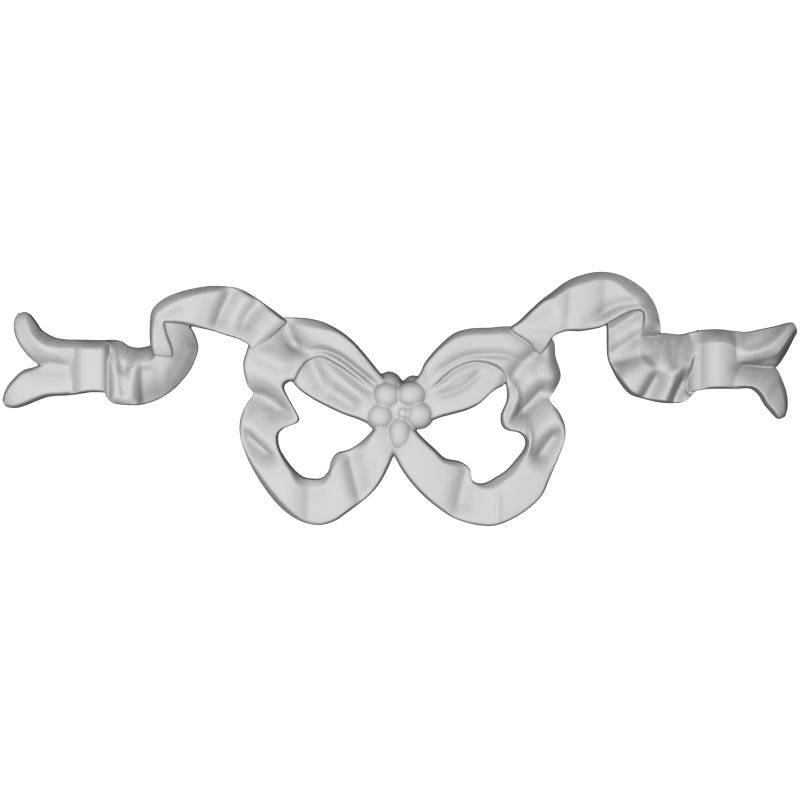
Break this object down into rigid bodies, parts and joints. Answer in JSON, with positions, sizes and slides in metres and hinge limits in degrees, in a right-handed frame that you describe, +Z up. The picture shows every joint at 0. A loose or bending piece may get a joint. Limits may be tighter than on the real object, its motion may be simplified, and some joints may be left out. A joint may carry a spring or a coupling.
{
  "type": "bow onlay",
  "caption": "Tied ribbon bow in relief with a flower knot and waving tails, glued to a mantel, door head or chest as a flat-backed ornament.",
  "frame": {"origin": "on the flat back, behind the flower knot", "axes": "+X along the onlay from the left tail to the right tail, +Y out of the back into the wall, +Z up; the relief faces -Y"},
  "size_m": [0.6401, 0.0266, 0.205],
  "materials": {
    "casting": "factory-primed matte white moulded urethane"
  },
  "bodies": {
    "root": {"bow_onlay": "casting"}
  },
  "joints": []
}
